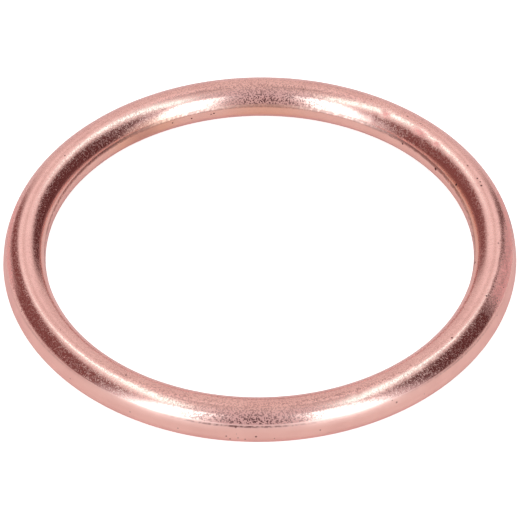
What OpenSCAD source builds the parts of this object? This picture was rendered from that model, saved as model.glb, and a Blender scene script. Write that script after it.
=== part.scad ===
// Exhaust gasket: a crush ring rolled from one strip of soft copper sheet.
// The strip is bent round into a nearly round, hollow section, and on the flank
// that faces the bore its upper edge, the lip, laps over its lower edge, the tongue.
// The origin is on the axis of the ring, in the plane that it lies on, with +Z up.

/* [Ring] */
// Bore, between the burnished belts inside
bore_d = 40; // [30:0.5:46]
// Width of the section, from the bore to the outside
section_w = 4; // [3.8:0.05:4.3]
// Height of the section, from the lower crown to the upper crown
section_h = 3.9; // [3.7:0.05:4.2]

/* [Sheet] */
// Thickness of the copper sheet
sheet_t = 0.3; // [0.2:0.01:0.36]
// Gap left in the lap, between the lip and the tongue under it
lap_gap = 0.04; // [0.03:0.01:0.06]

/* [Bends] */
// Outside radius of the bend over each crown, where the ring seals
crown_r = 1.42; // [1.3:0.01:1.6]
// Outside radius of the bend along the outer side, and of the lip
side_r = 1.8; // [1.6:0.05:1.9]
// Outside radius of the flatter bends between the others, on the four shoulders
shoulder_r = 2.5; // [2.3:0.05:3]
// Depth of the outer side's centre of bending below the middle of the section
side_drop = 0.1; // [0:0.01:0.2]
// Depth that the sizing die takes off each side, which leaves the belts
belt_bite = 0.03; // [0.02:0.005:0.05]

/* [Lap] */
// Height of the edge of the lip above the middle of the section
seam_h = 0.66; // [0.6:0.01:0.8]
// Outside radius of the wall that faces the bore, and of its tongue
wall_r = 1.3; // [1.2:0.02:1.34]
// Depth of the wall's centre of bending below the middle of the section
wall_drop = 0.1; // [0.08:0.01:0.2]
// Direction in which the tongue ends, seen from the wall's centre of bending
tongue_end = 112; // [106:1:125]

/* [Hidden] */
copper = [0.82, 0.54, 0.47];
$fn = 180;

mean_r = (bore_d + section_w) / 2;
form_w = section_w / 2 + belt_bite;
seam_dir = 180 - asin(seam_h / side_r);
// Longer than any bend's radius, to cut well past the sheet
reach = 2 * shoulder_r;
// The tighter bends are fuller by this hair, so that they cross the flatter ones cleanly
blend = 0.0005;

// The tighter bends, each as its centre and its outside radius.
// Centres are seen from the middle of the section, with x outward and y up.
top_crown = [[0, section_h / 2 - crown_r - blend], crown_r];
low_crown = [-top_crown[0], crown_r];
side = [[form_w - side_r, -side_drop], side_r];
lip = [[side_r - form_w, 0], side_r];
wall = [[wall_r - form_w, -wall_drop], wall_r];

// Centre of the flatter bend that runs smoothly from one tighter bend to the next
function between(a, b) =
    let (
        way = b[0] - a[0],
        span = norm(way),
        from_a = shoulder_r - a[1],
        from_b = shoulder_r - b[1],
        along = (pow(from_a, 2) - pow(from_b, 2) + pow(span, 2)) / (2 * span),
        aside = sqrt(pow(from_a, 2) - pow(along, 2))
    )
    a[0] + (along * way + aside * [-way[1], way[0]]) / span;

// Point well outside the sheet, in the direction from one centre through another
function beyond(from, through) = from + reach * (through - from) / norm(through - from);

// Outline of the patch in which a flatter bend sets the form, between two tighter bends
function patch(a, b) =
    let (
        centre = between(a, b),
        start = beyond(centre, a[0]),
        end = beyond(centre, b[0])
    )
    [a[0], start, beyond(centre, (start + end) / 2), end, b[0]];

// The closed form that the sheet is bent round, at a depth below its outer skin.
// Its bends are listed counter-clockwise.
module form(bends, depth) {
    last = len(bends) - 1;
    intersection() {
        intersection_for (i = [0 : last])
            translate(between(bends[i], bends[i == last ? 0 : i + 1]))
                circle(shoulder_r - depth);
        union() {
            for (bend = bends)
                translate(bend[0])
                    circle(bend[1] + blend - depth);
            polygon([
                for (i = [0 : last])
                    each patch(bends[i], bends[i == last ? 0 : i + 1])
            ]);
        }
    }
}

// Sheet bent right round a form
module bent_sheet(bends) {
    difference() {
        form(bends, 0);
        form(bends, sheet_t);
    }
}

// The outer side and both crowns, with the lip that comes down over the tongue.
// The die presses the lip thinner where it lies on the tongue.
module hoop_section() {
    difference() {
        intersection() {
            bent_sheet([low_crown, side, top_crown, lip]);
            polygon([
                lip[0],
                lip[0] + reach * [cos(seam_dir), sin(seam_dir)],
                [-reach, reach],
                [reach, reach],
                [reach, -reach],
                [0, -reach],
                [0, 0]
            ]);
        }
        translate(wall[0])
            circle(wall_r + blend + lap_gap);
    }
}

// The wall that faces the bore, from the lower crown up to the middle of its bend
module wall_section() {
    intersection() {
        bent_sheet([low_crown, side, top_crown, wall]);
        translate([-reach, wall[0][1] - reach])
            square(reach);
    }
}

// The tongue, which carries the wall's bend on under the lip
module tongue_section() {
    translate(wall[0])
        intersection() {
            difference() {
                circle(wall_r + blend);
                circle(wall_r + blend - sheet_t);
            }
            polygon([
                [0, 0],
                reach * [cos(tongue_end), sin(tongue_end)],
                [-reach, reach],
                [-reach, 0]
            ]);
        }
}

// The whole section, sized to its width between two belts
module section() {
    intersection() {
        union() {
            hoop_section();
            wall_section();
            tongue_section();
        }
        square([section_w, 2 * section_h], center = true);
    }
}

module gasket_ring() {
    color(copper)
        rotate_extrude()
            translate([mean_r, section_h / 2])
                section();
}

gasket_ring();
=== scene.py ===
# A copper exhaust gasket: a crush ring rolled from soft sheet, lying on a white table.
# Lengths are in metres. The ring's section is drawn from its own middle, with x outward and y up.

import math
from functools import partial

import bpy
import numpy as np
from mathutils import Matrix, Vector


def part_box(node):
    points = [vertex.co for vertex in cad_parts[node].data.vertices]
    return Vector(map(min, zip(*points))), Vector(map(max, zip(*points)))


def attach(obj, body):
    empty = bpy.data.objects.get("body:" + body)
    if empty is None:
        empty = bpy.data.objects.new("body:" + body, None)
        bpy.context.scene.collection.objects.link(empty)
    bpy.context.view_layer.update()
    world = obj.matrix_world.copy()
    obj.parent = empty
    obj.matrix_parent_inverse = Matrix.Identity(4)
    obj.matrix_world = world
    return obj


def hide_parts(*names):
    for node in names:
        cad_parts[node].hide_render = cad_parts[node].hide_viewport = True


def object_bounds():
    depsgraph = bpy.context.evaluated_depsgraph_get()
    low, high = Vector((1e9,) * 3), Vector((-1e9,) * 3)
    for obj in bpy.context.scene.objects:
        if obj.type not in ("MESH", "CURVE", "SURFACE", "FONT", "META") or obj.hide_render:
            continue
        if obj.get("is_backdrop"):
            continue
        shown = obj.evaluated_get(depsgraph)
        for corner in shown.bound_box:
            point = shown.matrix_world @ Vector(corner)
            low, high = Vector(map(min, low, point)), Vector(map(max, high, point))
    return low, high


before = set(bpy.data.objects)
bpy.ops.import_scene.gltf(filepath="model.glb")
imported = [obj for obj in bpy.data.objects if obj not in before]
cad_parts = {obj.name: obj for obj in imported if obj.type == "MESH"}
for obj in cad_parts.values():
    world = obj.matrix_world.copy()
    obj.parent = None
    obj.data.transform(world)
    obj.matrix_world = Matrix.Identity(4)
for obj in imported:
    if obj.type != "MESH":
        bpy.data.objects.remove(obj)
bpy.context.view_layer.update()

MM = 0.001

# Camera
# A long lens stands in front of the ring and looks down on it from halfway up.
# It is rolled a little, as the ring's right-hand side stands higher in the picture.
LENS_DISTANCE = 308 * MM
LENS_HEIGHT_ANGLE = math.radians(43.15)
LENS_ROLL = math.radians(-0.61)
LENS_FOCAL_MM = 228.03
LENS_SENSOR_MM = 36
LENS_SHIFT_RIGHT = 0.00065
LENS_SHIFT_UP = -0.02044
LENS_NEAREST = 0.01
LENS_FARTHEST = 10

ring_low, ring_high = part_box("gasket_ring")
ring_middle = Vector((0, 0, (ring_low.z + ring_high.z) / 2))
lens_way = Vector((0, -math.cos(LENS_HEIGHT_ANGLE), math.sin(LENS_HEIGHT_ANGLE)))
lens = bpy.data.cameras.new("camera")
lens.sensor_width = LENS_SENSOR_MM
lens.lens = LENS_FOCAL_MM
lens.shift_x = LENS_SHIFT_RIGHT
lens.shift_y = LENS_SHIFT_UP
lens.clip_start = LENS_NEAREST
lens.clip_end = LENS_FARTHEST
camera = bpy.data.objects.new("camera", lens)
camera.location = ring_middle + LENS_DISTANCE * lens_way
aim = (-lens_way).to_track_quat("-Z", "Y").to_matrix() @ Matrix.Rotation(LENS_ROLL, 3, "Z")
camera.rotation_euler = aim.to_euler()
bpy.context.scene.collection.objects.link(camera)
bpy.context.scene.camera = camera

# Gasket ring
# One strip of soft copper sheet, bent round into a hollow section. Its upper edge, the lip,
# laps down over its lower edge, the tongue, on the flank that faces the bore.
SHEET_T = 0.3 * MM
LAP_GAP = 0.04 * MM
SECTION_W = 4 * MM
# Outside radii of the bends, and how far below the middle of the section two of them are centred
CROWN_R = 1.42 * MM
SIDE_R = 1.8 * MM
SHOULDER_R = 2.5 * MM
WALL_R = 1.3 * MM
SIDE_DROP = 0.1 * MM
WALL_DROP = 0.1 * MM
# Depth that the sizing die takes off each side, which leaves the belts
BELT_BITE = 0.03 * MM
# Height of the lip's edge above the middle of the section
SEAM_H = 0.66 * MM

# A place on the section is named by the direction of the sheet's normal there, in degrees. It
# passes the bore at 180, the lower crown at 270, the outer side at 360 and the upper crown at 450,
# and ends at the edge of the lip. A place round the ring is named in degrees from the ring's
# right-hand side: the far side is at 90, the left-hand side at 180 and the front at 270.
TONGUE_END = 112
TONGUE_HIDDEN_TO = 156
BORE_START = 160
BORE_END = 205
FLANK_START = 310
FLAT_END = 356
CREASE = 396
LIP_START = 400
# The lip would face the bore squarely here, but its edge stops short of that
LIP_LEVEL = 540

# Rows of the mesh on each stretch of the section, how far the close ones reach on either side of
# the crease and how far off the next ones lie, the mesh's columns round the ring, and the angle
# from which an edge stays sharp
ROWS = {"tongue": 3, "bore": 10, "under": 10, "flank": 16, "crease": 14, "dome": 29, "inside": 10}
CREASE_REACH = 8
CREASE_ROW_GAP = 2
COLUMNS = 1080
SHARP_EDGE = math.radians(40)

# The outer flank is pressed flat: share of the bend's height that is pressed away, how much less
# it is at the front and how many degrees round that reaches, size of the rounding of the crease,
# and how far past either end of the flat its formula is followed, in radians
FLAT_SHARE = 0.8
FRONT = 270
FRONT_REACH = 30
FRONT_ROUND = 0.4
CREASE_EASE = 0.08 * MM
PAST_FLAT = 0.3

# Dents in the dome and the flanks: place round the ring, place on the section, radius, depth
DENTS = [
    (31, 470, 0.30 * MM, 0.012 * MM),
    (36.6, 471, 0.25 * MM, 0.018 * MM),
    (43.0, 473, 0.40 * MM, 0.026 * MM),
    (54.2, 473, 0.30 * MM, 0.024 * MM),
    (57, 497, 0.35 * MM, 0.012 * MM),
    (237, 460, 0.35 * MM, 0.020 * MM),
    (229, 462, 0.40 * MM, 0.012 * MM),
    (308, 436, 0.22 * MM, 0.014 * MM),
    (321, 445, 0.20 * MM, 0.016 * MM),
    (292, 438, 0.25 * MM, 0.010 * MM),
    (343, 420, 0.45 * MM, 0.014 * MM),
    (351, 416, 0.35 * MM, 0.018 * MM),
    (18, 450, 0.25 * MM, 0.012 * MM),
    (148, 460, 0.30 * MM, 0.010 * MM),
    (174, 448, 0.30 * MM, 0.008 * MM),
]

# Height of the section, radius of its middle round the ring, half the width that it is rolled to,
# and the place of the seam, where the lip ends
section_h = ring_high.z - ring_low.z
mean_r = ring_high.x - SECTION_W / 2
form_w = SECTION_W / 2 + BELT_BITE
seam = LIP_LEVEL - math.degrees(math.asin(SEAM_H / SIDE_R))

# The tighter bends, each as its centre and its outside radius
top_crown = (np.array([0, section_h / 2 - CROWN_R]), CROWN_R)
low_crown = (-top_crown[0], CROWN_R)
side = (np.array([form_w - SIDE_R, -SIDE_DROP]), SIDE_R)
lip = (np.array([SIDE_R - form_w, 0]), SIDE_R)
wall = (np.array([WALL_R - form_w, -WALL_DROP]), WALL_R)


def flatter_centre(a, b):
    """Centre of the flatter bend that touches two tighter bends from outside: the point that lies
    SHOULDER_R less each one's radius from its centre."""
    way = b[0] - a[0]
    span = np.linalg.norm(way)
    along = ((SHOULDER_R - a[1]) ** 2 - (SHOULDER_R - b[1]) ** 2 + span ** 2) / (2 * span)
    aside = math.sqrt((SHOULDER_R - a[1]) ** 2 - along ** 2)
    return a[0] + (along * way + aside * np.array([-way[1], way[0]])) / span


def sheet_bends():
    """The bends of the sheet in order, from the tongue round to the lip: the place on the section
    at which each one ends, its centre and its radius. Two bends meet where the line through their
    centres reaches the sheet."""
    chain = [wall, low_crown, side, top_crown, lip]
    bends = []
    turned = TONGUE_END
    for a, b in zip(chain, chain[1:]):
        centre = flatter_centre(a, b)
        for met, bend in ((a, a), (b, (centre, SHOULDER_R))):
            way = met[0] - centre
            turned += (math.degrees(math.atan2(way[1], way[0])) - turned) % 360
            bends.append((turned, *bend))
    return bends + [(math.inf, *lip)]


def outer_skin(turn):
    """Points of the outer skin at the places in turn, with their normals: each point lies its
    bend's radius away from that bend's centre, and the belts cut off what is proud of them."""
    bends = sheet_bends()
    which = np.searchsorted([b[0] for b in bends], turn)
    centre = np.array([b[1] for b in bends])[which]
    radius = np.array([b[2] for b in bends])[which]
    normal = np.stack([np.cos(np.radians(turn)), np.sin(np.radians(turn))], -1)
    points = centre + radius[..., None] * normal
    points[..., 0] = np.clip(points[..., 0], -SECTION_W / 2, SECTION_W / 2)
    return points, normal


def inner_skin(turn):
    """Points one thickness of sheet below the outer skin. Under the lip, those nearer to the
    centre of the wall's bend than its radius and the gap are moved out to that distance, as the
    lip is pressed thinner over the tongue."""
    points, normal = outer_skin(turn)
    points = points - SHEET_T * normal
    way = points - wall[0]
    reach = np.linalg.norm(way, axis=-1, keepdims=True)
    pressed = (turn > LIP_START)[..., None] & (reach < WALL_R + LAP_GAP)
    return np.where(pressed, wall[0] + way / reach * (WALL_R + LAP_GAP), points)


def ring_rows():
    """Places on the section for the rows of the outer skin: few where the sheet is hidden, many on
    the upper half, and close together over the crease."""
    before_crease = CREASE - CREASE_REACH - CREASE_ROW_GAP
    past_crease = CREASE + CREASE_REACH + CREASE_ROW_GAP
    return np.concatenate([
        np.linspace(TONGUE_END, TONGUE_HIDDEN_TO, ROWS["tongue"]),
        np.linspace(BORE_START, BORE_END, ROWS["bore"]),
        np.linspace(BORE_END, FLANK_START, ROWS["under"])[1:],
        np.linspace(FLANK_START, before_crease, ROWS["flank"])[1:],
        np.linspace(CREASE - CREASE_REACH, CREASE + CREASE_REACH, ROWS["crease"]),
        np.linspace(past_crease, seam, ROWS["dome"]),
    ])


def relief(turn, angle):
    """Depth of the skin below its true form. The outer flank is pressed nearly flat from its
    crease down, by a share of the height of the bend above its chord, which is the radius times
    1 - cos(half) / cos(turn from the middle of the flat). The share is less at the front, by its
    rounding there times e to the minus square of distance over reach. Half the sum of the height
    and of the root of its square plus the ease squared keeps it above 0 and rounds the crease. A
    dent is its depth times e to the minus half of the squared distance from its middle over its
    radius squared."""
    half = math.radians(CREASE - FLAT_END) / 2
    from_middle = np.clip(np.radians(turn - FLAT_END) - half, -half - PAST_FLAT, half + PAST_FLAT)
    from_front = (np.degrees(angle) - FRONT) / FRONT_REACH
    share = FLAT_SHARE - FRONT_ROUND * np.exp(-from_front ** 2)
    flat = share * SIDE_R * (1 - math.cos(half) / np.cos(from_middle))
    depth = (flat + np.sqrt(flat ** 2 + CREASE_EASE ** 2)) / 2
    for around, across, radius, deep in DENTS:
        apart = (angle - math.radians(around) + math.pi) % (2 * math.pi) - math.pi
        along = apart * mean_r
        over = np.radians(turn - across) * SIDE_R
        depth = depth + deep * np.exp(-(along ** 2 + over ** 2) / (2 * radius ** 2))
    return depth


def grid_faces(rows, columns):
    """Four corners of each face between neighbouring rows and columns, closed both ways round."""
    row, column = np.meshgrid(np.arange(rows), np.arange(columns), indexing="ij")
    next_row = (row + 1) % rows
    next_column = (column + 1) % columns
    corners = [(row, column), (row, next_column), (next_row, next_column), (next_row, column)]
    return np.stack([r * columns + c for r, c in corners], -1).reshape(-1, 4)


# Grain covers the dome. It starts at the crease and ends above the seam at the sides. At the front
# and the back, where the sine of the place round the ring is large, it reaches the seam.
CREASE_FADE = 2
GRAIN_END_SIDE = 496
GRAIN_END_FADE = 4
GRAIN_TO_SEAM_SINE = 0.45
GRAIN_TO_SEAM_FADE = 0.3
# The outer flank, below the grain, is rougher than the flank that faces the bore
OUTER_START = 300
OUTER_FADE = 10
# Painted shade under the lip, and painted shadow on a narrow stretch above the seam, mostly on the
# right
UNDER_LIP_SHADE = 0.45
UNDER_LIP = 160
UNDER_LIP_FADE = 3
SEAM_SHADOW = 0.7
SEAM_SHADOW_LEAST = 0.15
SEAM_SHADOW_WIDTH = 3
SEAM_SHADOW_RISE = 2
SEAM_SHADOW_AROUND = 10
SEAM_SHADOW_REACH = 15
SEAM_SHADOW_FADE = 20
# Dark marks along the crease: place round the ring, reach, place on the section, strength
CREASE_MARKS = [
    (266, 13, 391, 1.0),
    (7, 6, 394, 0.5),
    (320, 13, 392, 0.35),
    (212, 14, 392, 0.25),
]
CREASE_MARK_HALF = 1.5
CREASE_MARK_FADE = 2.5
# Browned stretches of the side that faces the bore, partly tarnish and partly painted shade for the
# shaded floor that this side mirrors inside the ring: place round the ring, reach, and how far the
# copper is browned above and below the seam
TARNISH_AND_SHADE_LEAST = 0.1
TARNISH_AND_SHADE = [(124, 9, 0.25, 0.65), (11, 21, 0.45, 0.1), (88, 11, 0.1, 0.35)]
TARNISH_AND_SHADE_BELOW_TO = 200
TARNISH_AND_SHADE_BELOW_FADE = 30
TARNISH_AND_SHADE_ABOVE_WIDTH = 30
TARNISH_AND_SHADE_ABOVE_RISE = 20
# Patches with more pits, and more of them towards the front and the back: place round the ring,
# place on the section, reach round the ring and across, and share of the crystals that are pitted.
# They end at the ring's right-hand side.
PIT_SHARE_LEAST = 0.08
PIT_SHARE_FRONT_BACK = 0.2
PIT_PATCHES = [
    (269, 403, 12, 18, 0.9),
    (88, 504, 12, 22, 1.0),
    (290, 446, 22, 7, 0.35),
    (245, 449, 14, 7, 0.25),
    (92, 467, 20, 4, 0.3),
    (349, 415, 13, 12, 0.2),
]
# The crystals are matt at the sides, where the cosine of the place round the ring is large
FROSTED_COSINE = 0.3
FROSTED_FADE = 0.25
# Hazy patches of the dome: place round the ring, reach, soft edge, and where the patch starts and
# ends on the section. It starts to fade a little before its end.
HAZE = [
    (345, 9, 8, 398, 428),
    (354, 10, 8, 398, 423),
    (7, 11, 10, 398, 415),
    (180, 15, 9, 398, 412),
    (36.6, 1.0, 1.6, 467, 480),
    (43, 2.0, 2.4, 468, 482),
    (54.2, 1.1, 1.6, 468, 482),
]
HAZE_START_FADE = 4
HAZE_BEFORE_END = 4
HAZE_END_FADE = 9


def rise(value, start, width):
    """0 up to start, rising evenly to 1 over the width."""
    return np.clip((value - start) / width, 0, 1)


def short_way(round_deg, around):
    """Degrees from the place around to the places round_deg, the short way round the ring."""
    return (round_deg - around + 180) % 360 - 180


def paint(mesh, name, values):
    """Store one number for each point of the mesh, for the material to read."""
    layer = mesh.attributes.new(name, "FLOAT", "POINT")
    layer.data.foreach_set("value", values.ravel().astype(np.float32))


def paint_finish(mesh, turn, angle):
    """Where each finish lies, from the place on the section and the place round the ring. Each one
    is a product of even rises over its edges. A patch of crease marks, of tarnish and painted
    shade, or of pits is its strength times e to the minus square of distance over reach."""
    round_deg = np.degrees(angle)

    above_crease = rise(turn, CREASE, CREASE_FADE)
    to_seam = rise(np.abs(np.sin(angle)), GRAIN_TO_SEAM_SINE, GRAIN_TO_SEAM_FADE)
    grain_end = GRAIN_END_SIDE + (seam + GRAIN_END_FADE - GRAIN_END_SIDE) * to_seam
    paint(mesh, "dome", above_crease * (1 - rise(turn, grain_end - GRAIN_END_FADE, GRAIN_END_FADE)))
    paint(mesh, "outer_flank", (1 - above_crease) * rise(turn, OUTER_START, OUTER_FADE))

    # A painted shadow of the lip's edge along the seam, strongest on the right, and painted shade
    # under the lip
    seam_apart = np.abs(short_way(round_deg, SEAM_SHADOW_AROUND))
    seam_share = 1 - rise(seam_apart, SEAM_SHADOW_REACH, SEAM_SHADOW_FADE)
    seam_share = SEAM_SHADOW_LEAST + (1 - SEAM_SHADOW_LEAST) * seam_share
    seam_shadow_and_crease_marks = SEAM_SHADOW * seam_share * rise(turn, seam - SEAM_SHADOW_WIDTH, SEAM_SHADOW_RISE)
    seam_shadow_and_crease_marks = seam_shadow_and_crease_marks + UNDER_LIP_SHADE * (1 - rise(turn, UNDER_LIP, UNDER_LIP_FADE))
    # Darker dashes along the crease
    for around, reach, across, strength in CREASE_MARKS:
        narrow = 1 - rise(np.abs(turn - across), CREASE_MARK_HALF, CREASE_MARK_FADE)
        patch = strength * np.exp(-(short_way(round_deg, around) / reach) ** 2)
        seam_shadow_and_crease_marks = np.maximum(seam_shadow_and_crease_marks, patch * narrow)
    paint(mesh, "seam_shadow_and_crease_marks", seam_shadow_and_crease_marks)

    # Browning towards the bore: partly tarnish, partly painted shade
    below = 1 - rise(turn, TARNISH_AND_SHADE_BELOW_TO, TARNISH_AND_SHADE_BELOW_FADE)
    above = rise(turn, seam - TARNISH_AND_SHADE_ABOVE_WIDTH, TARNISH_AND_SHADE_ABOVE_RISE)
    browned_and_shaded = TARNISH_AND_SHADE_LEAST * (above + below)
    for around, reach, upper, lower in TARNISH_AND_SHADE:
        patch = np.exp(-(short_way(round_deg, around) / reach) ** 2)
        browned_and_shaded = browned_and_shaded + patch * (upper * above + lower * below)
    paint(mesh, "tarnish_and_shade", browned_and_shaded)

    pit_share = PIT_SHARE_LEAST + PIT_SHARE_FRONT_BACK * np.sin(angle) ** 2 * np.ones_like(turn)
    for around, across, reach, width, strength in PIT_PATCHES:
        apart = ((round_deg - around) / reach) ** 2 + ((turn - across) / width) ** 2
        pit_share = pit_share + strength * np.exp(-apart)
    paint(mesh, "pit_share", pit_share)

    frosted = rise(np.abs(np.cos(angle)), FROSTED_COSINE, FROSTED_FADE) * np.ones_like(turn)
    paint(mesh, "frosted", frosted)

    haze = np.zeros_like(turn)
    for around, reach, soft, start, end in HAZE:
        patch = 1 - rise(np.abs(short_way(round_deg, around)), reach - soft / 2, soft)
        patch = patch * rise(turn, start - HAZE_START_FADE / 2, HAZE_START_FADE)
        haze = np.maximum(haze, patch * (1 - rise(turn, end - HAZE_BEFORE_END, HAZE_END_FADE)))
    paint(mesh, "haze", haze)


def ring_mesh():
    """The closed outline of the sheet, out along its outer skin and back along its inner one,
    carried once round the axis."""
    turn = ring_rows()[:, None]
    back = np.linspace(seam, TONGUE_END, ROWS["inside"])[:, None]
    angle = np.linspace(0, 2 * math.pi, COLUMNS, endpoint=False)[None, :]
    outside, normal = outer_skin(turn)
    outside = outside - relief(turn, angle)[..., None] * normal
    inside = np.broadcast_to(inner_skin(back), (ROWS["inside"], COLUMNS, 2))
    outline = np.concatenate([outside, inside])
    reach = mean_r + outline[..., 0]
    height = ring_middle.z + outline[..., 1]
    points = np.stack([reach * np.cos(angle), reach * np.sin(angle), height], -1).reshape(-1, 3)
    mesh = bpy.data.meshes.new("gasket_ring_skin")
    mesh.from_pydata(points.tolist(), [], grid_faces(len(outline), COLUMNS).tolist())
    mesh.polygons.foreach_set("use_smooth", np.ones(len(mesh.polygons), bool))
    mesh.set_sharp_from_angle(angle=SHARP_EDGE)
    # The inner skin takes the finish of the tongue's end
    every_turn = np.concatenate([turn, np.full_like(back, TONGUE_END)])
    paint_finish(mesh, np.broadcast_to(every_turn, outline.shape[:2]), angle)
    return mesh


def math_node(tree, operation, *values):
    """One Math node in the tree, with each value a number or another node's output."""
    node = tree.nodes.new("ShaderNodeMath")
    node.operation = operation
    for socket, value in zip(node.inputs, values):
        if isinstance(value, (int, float)):
            socket.default_value = value
        else:
            tree.links.new(value, socket)
    return node.outputs[0]


def stretch_node(tree, value, low, high, to_low=0.0, to_high=1.0):
    """The value taken smoothly from the range low to high to the range to_low to to_high."""
    node = tree.nodes.new("ShaderNodeMapRange")
    node.interpolation_type = "SMOOTHSTEP"
    node.inputs["From Min"].default_value = low
    node.inputs["From Max"].default_value = high
    node.inputs["To Min"].default_value = to_low
    node.inputs["To Max"].default_value = to_high
    tree.links.new(value, node.inputs["Value"])
    return node.outputs[0]


# Bare copper, clouded over a few millimetres, and its two shades of tarnish, the browned one partly
# painted shade
COPPER = (0.84, 0.465, 0.425)
PALE_COPPER = (0.88, 0.50, 0.455)
EDGE_TINT = (0.92, 0.8, 0.84)
CLOUD_SIZE = 2.5 * MM
CLOUD_DETAIL = 3
CLOUD_RANGE = (0.35, 0.65)
ORANGED = (0.80, 0.41, 0.32)
ORANGED_RANGE = (0, 0.5)
BROWNED_AND_SHADED = (0.55, 0.25, 0.21)
BROWNED_AND_SHADED_RANGE = (0.4, 1)
# Crystals of the grain: size, tilt of their facets, and which of them are matt or pitted
GRAIN_SIZE = 0.1 * MM
GRAIN_TILT = 0.03
FACET_MIDDLE = (0.5, 0.5, 0.5)
MATT_RANGE = (0.3, 0.92)
PITTED = (0.125, 0.045, 0.046)
PITTED_RANGE = (0.56, 0.66)
PITTED_SHADE = 0.85
# Haze: a pale oxide film, broken up by fine noise
HAZED = (0.91, 0.345, 0.32)
HAZE_FILM = 0.8
HAZE_SIZE = 0.14 * MM
HAZE_DETAIL = 3
HAZE_RANGE = (0.36, 0.6, 0.5, 1)
# Painted shadow at the seam and under the lip, and dark marks along the crease, in dashes
DARK_SPOT_AND_SHADOW = (0.12, 0.04, 0.04)
SHADOW_AND_MARK_DARKNESS = 0.95
DASH_SIZE = 0.3 * MM
DASH_DETAIL = 3
DASH_RANGE = (0.4, 0.56, 0.4, 1)
# Pin pits: distance between the places for them, their radius as a share of it, how many of the
# places have one, and how dark they are
PIN_SPACING = 0.9 * MM
PIN_RANGE = (0.09, 0.05)
PIN_SHARE_RANGE = (0.7, 0.75)
PIN_SHADE = 0.6
# Roughness of each finish
FLANK_ROUGHNESS = 0.22
OUTER_ROUGHNESS = 0.34
DOME_ROUGHNESS = 0.16
MATT_ROUGHNESS = 0.37
PIT_ROUGHNESS = 0.14
HAZE_ROUGHNESS = 0.6
SPOT_ROUGHNESS = 0.3
# A speck fades out between these shares of its radius
SPECK_EDGE = 1.1
SPECK_CORE = 0.5
# Specks of dirt: place round the ring, place on the section, radius
SPECKS = [
    (17, 451, 0.13 * MM), (18.4, 447, 0.10 * MM), (19.8, 450, 0.11 * MM),
    (25, 453, 0.09 * MM), (22.3, 508, 0.16 * MM), (32.3, 163, 0.20 * MM),
    (46, 163, 0.12 * MM), (3.7, 166, 0.12 * MM), (351.5, 514, 0.16 * MM),
    (102.5, 176, 0.10 * MM), (103.3, 179, 0.08 * MM), (109, 180, 0.10 * MM),
    (114.7, 176, 0.09 * MM), (148.5, 461, 0.09 * MM), (240.8, 362, 0.10 * MM),
    (252, 356, 0.08 * MM), (264.5, 388, 0.12 * MM), (264.7, 365, 0.08 * MM),
    (262.5, 354, 0.09 * MM), (263.3, 342, 0.10 * MM), (265, 350, 0.08 * MM),
    (268.8, 357, 0.12 * MM), (266.5, 345, 0.08 * MM), (282.5, 362, 0.10 * MM),
    (272.7, 348, 0.07 * MM), (300.3, 380, 0.14 * MM), (307.5, 360, 0.08 * MM),
    (321, 443, 0.12 * MM), (337.5, 436, 0.11 * MM), (341.2, 428, 0.10 * MM),
    (356, 442, 0.09 * MM), (343, 406, 0.08 * MM), (352.3, 519, 0.16 * MM),
    (44.6, 449, 0.07 * MM), (48.8, 451, 0.08 * MM), (50.4, 437, 0.07 * MM),
    (60, 448, 0.07 * MM), (69.5, 436, 0.07 * MM), (236.6, 456, 0.08 * MM),
    (236.4, 462, 0.07 * MM), (229, 458, 0.06 * MM), (338, 430, 0.08 * MM),
    (355, 428, 0.07 * MM), (78, 470, 0.08 * MM),
]
# Pale specks of dust, in the same way
DUST = [
    (159.5, 493, 0.07 * MM), (167, 488, 0.05 * MM), (185, 426, 0.06 * MM), (190, 396, 0.06 * MM),
    (200, 426, 0.05 * MM), (221, 407, 0.06 * MM), (88.6, 500, 0.07 * MM), (316, 411, 0.05 * MM),
]


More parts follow.
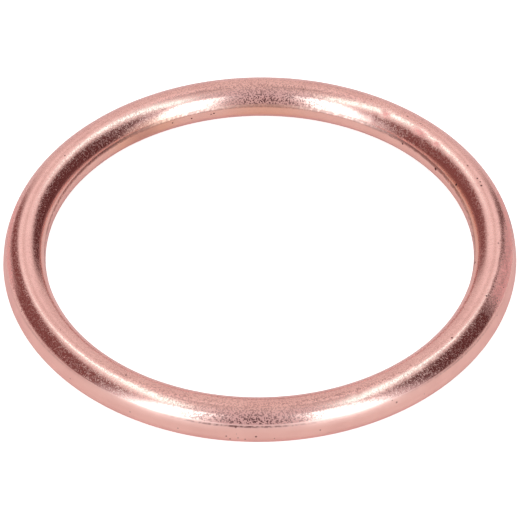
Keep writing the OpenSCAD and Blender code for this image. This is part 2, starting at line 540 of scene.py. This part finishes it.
def copper_material():
    """Soft copper: matt with fine crystal facets over the dome, burnished on the flanks, browned on
    the side that faces the bore by tarnish and painted shade, with pits, specks, painted shade
    under the lip and a painted shadow along the seam."""
    material = bpy.data.materials.new("annealed_copper")
    material.use_nodes = True
    tree = material.node_tree
    nodes = tree.nodes
    links = tree.links
    calculate = partial(math_node, tree)
    stretch = partial(stretch_node, tree)
    shader = nodes["Principled BSDF"]
    shader.inputs["Specular Tint"].default_value = (*EDGE_TINT, 1)
    place = nodes.new("ShaderNodeTexCoord").outputs["Object"]

    def attribute(name):
        """The number that the mesh holds under that name."""
        node = nodes.new("ShaderNodeAttribute")
        node.attribute_name = name
        return node.outputs["Fac"]

    def vector_node(operation, *values):
        """One Vector Math node, with each value a vector or another node's output."""
        node = nodes.new("ShaderNodeVectorMath")
        node.operation = operation
        for socket, value in zip(node.inputs, values):
            if isinstance(value, (tuple, Vector)):
                socket.default_value = value
            else:
                links.new(value, socket)
        return node

    def mix(factor, a, b):
        """Colour a where the factor is 0 and colour b where it is 1."""
        node = nodes.new("ShaderNodeMix")
        node.data_type = "RGBA"
        links.new(factor, node.inputs["Factor"])
        for socket, value in ((node.inputs["A"], a), (node.inputs["B"], b)):
            if isinstance(value, tuple):
                socket.default_value = (*value, 1)
            else:
                links.new(value, socket)
        return node.outputs["Result"]

    def noise(size, detail):
        """Cloudy noise between 0 and 1, whose lumps are about that size."""
        node = nodes.new("ShaderNodeTexNoise")
        node.inputs["Scale"].default_value = 1 / size
        node.inputs["Detail"].default_value = detail
        links.new(place, node.inputs["Vector"])
        return node.outputs["Fac"]

    def cells(size):
        """Cells of that size: the texture, and the three numbers that each cell has of its own."""
        node = nodes.new("ShaderNodeTexVoronoi")
        node.inputs["Scale"].default_value = 1 / size
        links.new(place, node.inputs["Vector"])
        own = nodes.new("ShaderNodeSeparateColor")
        links.new(node.outputs["Color"], own.inputs[0])
        return node, own

    def near(around, across, radius):
        """1 at the middle of a speck, falling smoothly to 0 with the distance from it."""
        middle, _ = outer_skin(np.array([float(across)]))
        reach = mean_r + middle[0, 0]
        centre = Vector((
            reach * math.cos(math.radians(around)),
            reach * math.sin(math.radians(around)),
            ring_middle.z + middle[0, 1],
        ))
        apart = vector_node("DISTANCE", place, centre).outputs["Value"]
        return stretch(apart, SPECK_EDGE * radius, SPECK_CORE * radius)

    dome = attribute("dome")

    # Facets of the crystals, each tilted its own way
    crystals, own_number = cells(GRAIN_SIZE)
    tilt = vector_node("SUBTRACT", crystals.outputs["Color"], FACET_MIDDLE).outputs[0]
    amount = vector_node("SCALE", tilt)
    links.new(calculate("MULTIPLY", dome, GRAIN_TILT), amount.inputs["Scale"])
    flat = nodes.new("ShaderNodeNewGeometry").outputs["Normal"]
    tilted = vector_node("NORMALIZE", vector_node("ADD", flat, amount.outputs[0]).outputs[0])
    links.new(tilted.outputs[0], shader.inputs["Normal"])
    matt = calculate("MULTIPLY", stretch(own_number.outputs[2], *MATT_RANGE), dome)
    matt = calculate("MULTIPLY", matt, attribute("frosted"))
    pitted = calculate("MULTIPLY", stretch(own_number.outputs[0], *PITTED_RANGE), dome)
    pitted = calculate("MULTIPLY", pitted, attribute("pit_share"))

    # Clouded copper, browned towards the bore by tarnish and painted shade, then haze and dust,
    # then the pitted crystals
    clouds = stretch(noise(CLOUD_SIZE, CLOUD_DETAIL), *CLOUD_RANGE)
    colour = mix(clouds, COPPER, PALE_COPPER)
    # This browning is partly tarnish and partly painted shade
    tarnish_and_shade = attribute("tarnish_and_shade")
    colour = mix(stretch(tarnish_and_shade, *ORANGED_RANGE), colour, ORANGED)
    colour = mix(stretch(tarnish_and_shade, *BROWNED_AND_SHADED_RANGE), colour, BROWNED_AND_SHADED)
    hazy = stretch(noise(HAZE_SIZE, HAZE_DETAIL), *HAZE_RANGE)
    hazy = calculate("MULTIPLY", attribute("haze"), hazy)
    for speck in DUST:
        hazy = calculate("MAXIMUM", hazy, near(*speck))
    colour = mix(hazy, colour, HAZED)
    colour = mix(calculate("MULTIPLY", pitted, PITTED_SHADE), colour, PITTED)

    # Painted shadow at the seam and under the lip, dark marks along the crease, specks of dirt, and
    # pin pits
    dashes = stretch(noise(DASH_SIZE, DASH_DETAIL), *DASH_RANGE)
    dashes = calculate("MULTIPLY", attribute("seam_shadow_and_crease_marks"), dashes)
    spots = calculate("MULTIPLY", dashes, SHADOW_AND_MARK_DARKNESS)
    for speck in SPECKS:
        spots = calculate("MAXIMUM", spots, near(*speck))
    pins, pin_number = cells(PIN_SPACING)
    pin = stretch(pins.outputs["Distance"], *PIN_RANGE)
    pin = calculate("MULTIPLY", pin, stretch(pin_number.outputs[0], *PIN_SHARE_RANGE))
    spots = calculate("MAXIMUM", spots, calculate("MULTIPLY", pin, PIN_SHADE))
    # Specks, pin pits, crease marks and the painted shadow at the seam and under the lip darken the
    # copper here
    colour = mix(spots, colour, DARK_SPOT_AND_SHADOW)
    links.new(colour, shader.inputs["Base Color"])

    # The film of haze isn't metallic, and it is gone where the copper is pitted, dirty or darkened
    # by painted shadow
    bare = calculate("SUBTRACT", 1, calculate("MAXIMUM", pitted, spots))
    film = calculate("MULTIPLY", calculate("MULTIPLY", hazy, bare), HAZE_FILM)
    links.new(calculate("SUBTRACT", 1, film), shader.inputs["Metallic"])

    rough = stretch(dome, 0, 1, FLANK_ROUGHNESS, DOME_ROUGHNESS)
    outer_rough = calculate("MULTIPLY", attribute("outer_flank"), OUTER_ROUGHNESS)
    rough = calculate("MAXIMUM", rough, outer_rough)
    rough = calculate("ADD", rough, calculate("MULTIPLY", pitted, PIT_ROUGHNESS))
    rough = calculate("MAXIMUM", rough, calculate("MULTIPLY", matt, MATT_ROUGHNESS))
    rough = calculate("MAXIMUM", rough, calculate("MULTIPLY", hazy, HAZE_ROUGHNESS))
    rough = calculate("ADD", rough, calculate("MULTIPLY", spots, SPOT_ROUGHNESS))
    links.new(rough, shader.inputs["Roughness"])
    return material


ring = bpy.data.objects.new("ring", ring_mesh())
ring.data.materials.append(copper_material())
bpy.context.scene.collection.objects.link(ring)
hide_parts("gasket_ring")
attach(ring, "root")

# Floor
# A wide white table top. Its colour lights the ring's flanks, and a glow that only the camera and
# mirrored rays see makes it white and leaves the ring's soft shadow.
FLOOR_HALF = 3.0
TABLE_COLOUR = (0.81, 0.7, 0.67)
TABLE_ROUGHNESS = 0.9
WHITE_TO_CAMERA = 0.78
WHITE_IN_MIRRORS = 0.12

floor_mesh = bpy.data.meshes.new("floor")
corners = [(x * FLOOR_HALF, y * FLOOR_HALF, 0) for x, y in ((-1, -1), (1, -1), (1, 1), (-1, 1))]
floor_mesh.from_pydata(corners, [], [(0, 1, 2, 3)])
floor = bpy.data.objects.new("floor", floor_mesh)
bpy.context.scene.collection.objects.link(floor)
white = bpy.data.materials.new("white_table")
white.use_nodes = True
table = white.node_tree.nodes["Principled BSDF"]
table.inputs["Base Color"].default_value = (*TABLE_COLOUR, 1)
table.inputs["Roughness"].default_value = TABLE_ROUGHNESS
table.inputs["Specular IOR Level"].default_value = 0
table.inputs["Emission Color"].default_value = (1, 1, 1, 1)
rays = white.node_tree.nodes.new("ShaderNodeLightPath")
calculate = partial(math_node, white.node_tree)
mirrored = calculate("MULTIPLY", rays.outputs["Is Glossy Ray"], WHITE_IN_MIRRORS)
glow = calculate("MULTIPLY_ADD", rays.outputs["Is Camera Ray"], WHITE_TO_CAMERA, mirrored)
white.node_tree.links.new(glow, table.inputs["Emission Strength"])
floor_mesh.materials.append(white)
floor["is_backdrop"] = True

# Light
# Two soft boxes stand to the left and right of the camera, and two straight lights with a soft glow
# run from front to back under the ceiling. The room's sides are dark, and white walls close it in
# front and behind.
world = bpy.data.worlds.new("studio")
bpy.context.scene.world = world
world.use_nodes = True
nodes = world.node_tree.nodes
links = world.node_tree.links
nodes.clear()
out = nodes.new("ShaderNodeOutputWorld")
background = nodes.new("ShaderNodeBackground")
links.new(background.outputs[0], out.inputs["Surface"])
axes = nodes.new("ShaderNodeSeparateXYZ")
links.new(nodes.new("ShaderNodeTexCoord").outputs["Generated"], axes.inputs[0])
calculate = partial(math_node, world.node_tree)
stretch = partial(stretch_node, world.node_tree)


def between_edges(value, low, high, edge):
    """1 between low and high and 0 outside them, with a smooth step at each that reaches the edge's
    width to both sides."""
    up = stretch(value, low - edge, low + edge)
    down = stretch(value, high + edge, high - edge)
    return calculate("MULTIPLY", up, down)


# Ways of measuring a direction, in degrees: round to the right of the camera, round to either side,
# up, and sideways up to the overhead, for the lights that run from front to back
front = calculate("MULTIPLY", axes.outputs["Y"], -1)
right_way = calculate("DEGREES", calculate("ARCTAN2", axes.outputs["X"], front))
round_way = calculate("ABSOLUTE", right_way)
up_way = calculate("DEGREES", calculate("ARCSINE", axes.outputs["Z"]))
aside = calculate("ABSOLUTE", axes.outputs["X"])
lean_way = calculate("DEGREES", calculate("ARCTAN2", axes.outputs["Z"], aside))

ROOM = (0.124, 0.047, 0.047)
# Each panel is painted over those before it: its name, then twice a way of measuring, the panel's
# two edges along it and how soft they are, then its colour
PANELS = [
    ("left_room", right_way, -152, -66, 6, up_way, -20, 60, 8, (0.235, 0.105, 0.1)),
    ("low_sides", round_way, 60, 155, 8, up_way, -20, 3, 3, (0.85, 0.77, 0.75)),
    ("back_wall", round_way, 151, 200, 5, up_way, -20, 84, 6, (0.84, 0.81, 0.78)),
    ("back_corner", round_way, 145, 171, 6, up_way, 26, 70, 7, (1.06, 1.04, 1.03)),
    ("front_low", round_way, -20, 66, 5, up_way, -20, 80, 6, (0.72, 0.7, 0.73)),
    ("ceiling", round_way, -20, 200, 5, up_way, 80, 100, 6, (0.84, 0.83, 0.81)),
    ("ceiling_front", round_way, -20, 50, 8, up_way, 66, 84, 5, (0.78, 0.76, 0.78)),
    ("left_glow", right_way, -152, -50, 10, lean_way, 53, 80, 6, (1.04, 1.03, 1.02)),
    ("right_glow", right_way, 50, 152, 10, lean_way, 56, 80, 6, (1.04, 1.03, 1.02)),
    ("left_light", right_way, -150, -52, 10, lean_way, 64, 72, 3, (1.85, 3.0, 2.9)),
    ("right_light", right_way, 52, 148, 11, lean_way, 64, 72, 3, (1.65, 2.8, 2.75)),
    ("left_box", right_way, -53, -26, 6, up_way, 3, 58, 4, (2.5, 3.4, 3.45)),
    ("right_box", right_way, 21, 50, 6, up_way, 3, 58, 4, (2.5, 3.4, 3.45)),
]
colour = None
for name, way, left, right, soft, other_way, low, high, other_soft, shade in PANELS:
    across = between_edges(way, left, right, soft)
    along = between_edges(other_way, low, high, other_soft)
    panel = nodes.new("ShaderNodeMix")
    panel.label = name
    panel.data_type = "RGBA"
    links.new(calculate("MULTIPLY", across, along), panel.inputs["Factor"])
    panel.inputs["B"].default_value = (*shade, 1)
    if colour is None:
        panel.inputs["A"].default_value = (*ROOM, 1)
    else:
        links.new(colour, panel.inputs["A"])
    colour = panel.outputs["Result"]
links.new(colour, background.inputs["Color"])

bpy.context.scene.view_settings.view_transform = "Standard"

low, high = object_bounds()
